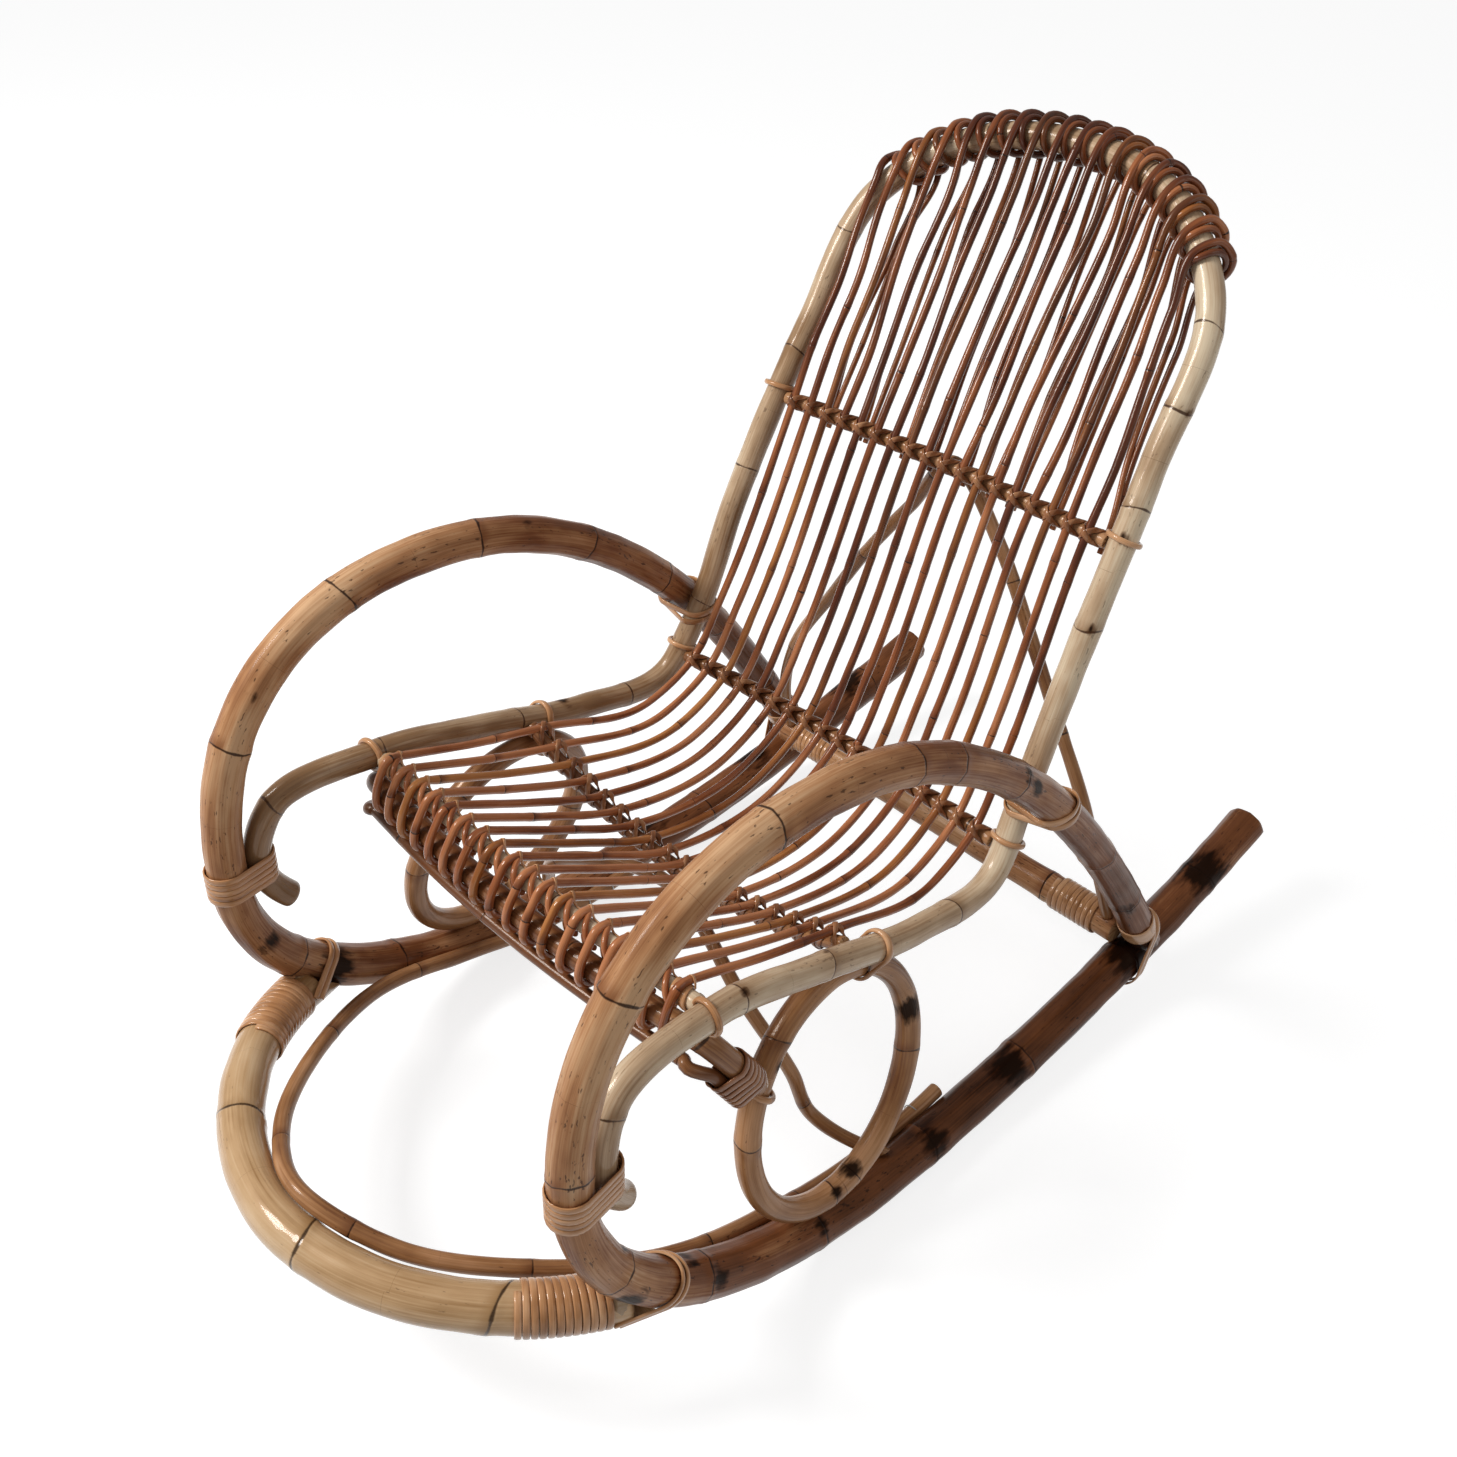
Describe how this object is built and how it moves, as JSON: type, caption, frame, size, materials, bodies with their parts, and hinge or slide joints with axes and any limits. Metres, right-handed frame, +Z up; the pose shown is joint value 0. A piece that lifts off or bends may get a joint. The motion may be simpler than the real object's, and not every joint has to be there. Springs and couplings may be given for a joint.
{
  "type": "rattan rocking chair",
  "caption": "Rocking chair of bent rattan poles: looped runner-and-arm sides, a foot bow, side rings, and a seat and back of close bent rods bound with cane.",
  "frame": {"origin": "on the floor under the middle of the chair's length and width", "axes": "+Z up, the chair's length along Y with the sitter facing -Y, +X across the seat"},
  "size_m": [0.5884, 1.1631, 0.8806],
  "materials": {
    "scorched_pole": "satin",
    "varnished_pole": "gloss",
    "pale_pole": "satin",
    "brown_pole": "satin",
    "rod": "satin",
    "cane": "gloss",
    "steel": "dull"
  },
  "bodies": {
    "root": {"side_pole_left": "scorched_pole", "side_pole_right": "scorched_pole", "foot_bow": "varnished_pole", "inner_bow": "brown_pole", "seat_back_frame": "pale_pole", "side_ring_left": "brown_pole", "side_ring_right": "brown_pole", "front_bar_upper": "pale_pole", "front_bar_lower": "brown_pole", "front_under_bow": "brown_pole", "seat_bar": "brown_pole", "lumbar_bar": "brown_pole", "back_bar": "brown_pole", "rear_cross_bar": "brown_pole", "back_brace": "brown_pole", "seat_brace": "brown_pole", "foot_wrap_left": "cane", "foot_wrap_right": "cane", "curl_wrap_left": "cane", "curl_wrap_right": "cane", "front_wrap_left": "cane", "front_wrap_right": "cane", "rear_wrap_left": "cane", "rear_wrap_right": "cane", "seat_bar_lashing": "cane", "lumbar_bar_lashing": "cane", "back_bar_lashing": "cane", "rail_loops": "cane", "foot_straps_left": "cane", "foot_straps_right": "cane", "ring_straps_left": "cane", "ring_straps_right": "cane", "arm_straps_left": "cane", "arm_straps_right": "cane", "heel_straps_left": "cane", "heel_straps_right": "cane", "inner_bow_staples": "steel", "rod_01": "rod", "rod_02": "rod", "rod_03": "rod", "rod_04": "rod", "rod_05": "rod", "rod_06": "rod", "rod_07": "rod", "rod_08": "rod", "rod_09": "rod", "rod_10": "rod", "rod_11": "rod", "rod_12": "rod", "rod_13": "rod", "rod_14": "rod", "rod_15": "rod", "rod_16": "rod", "rod_17": "rod", "rod_18": "rod"}
  },
  "joints": []
}
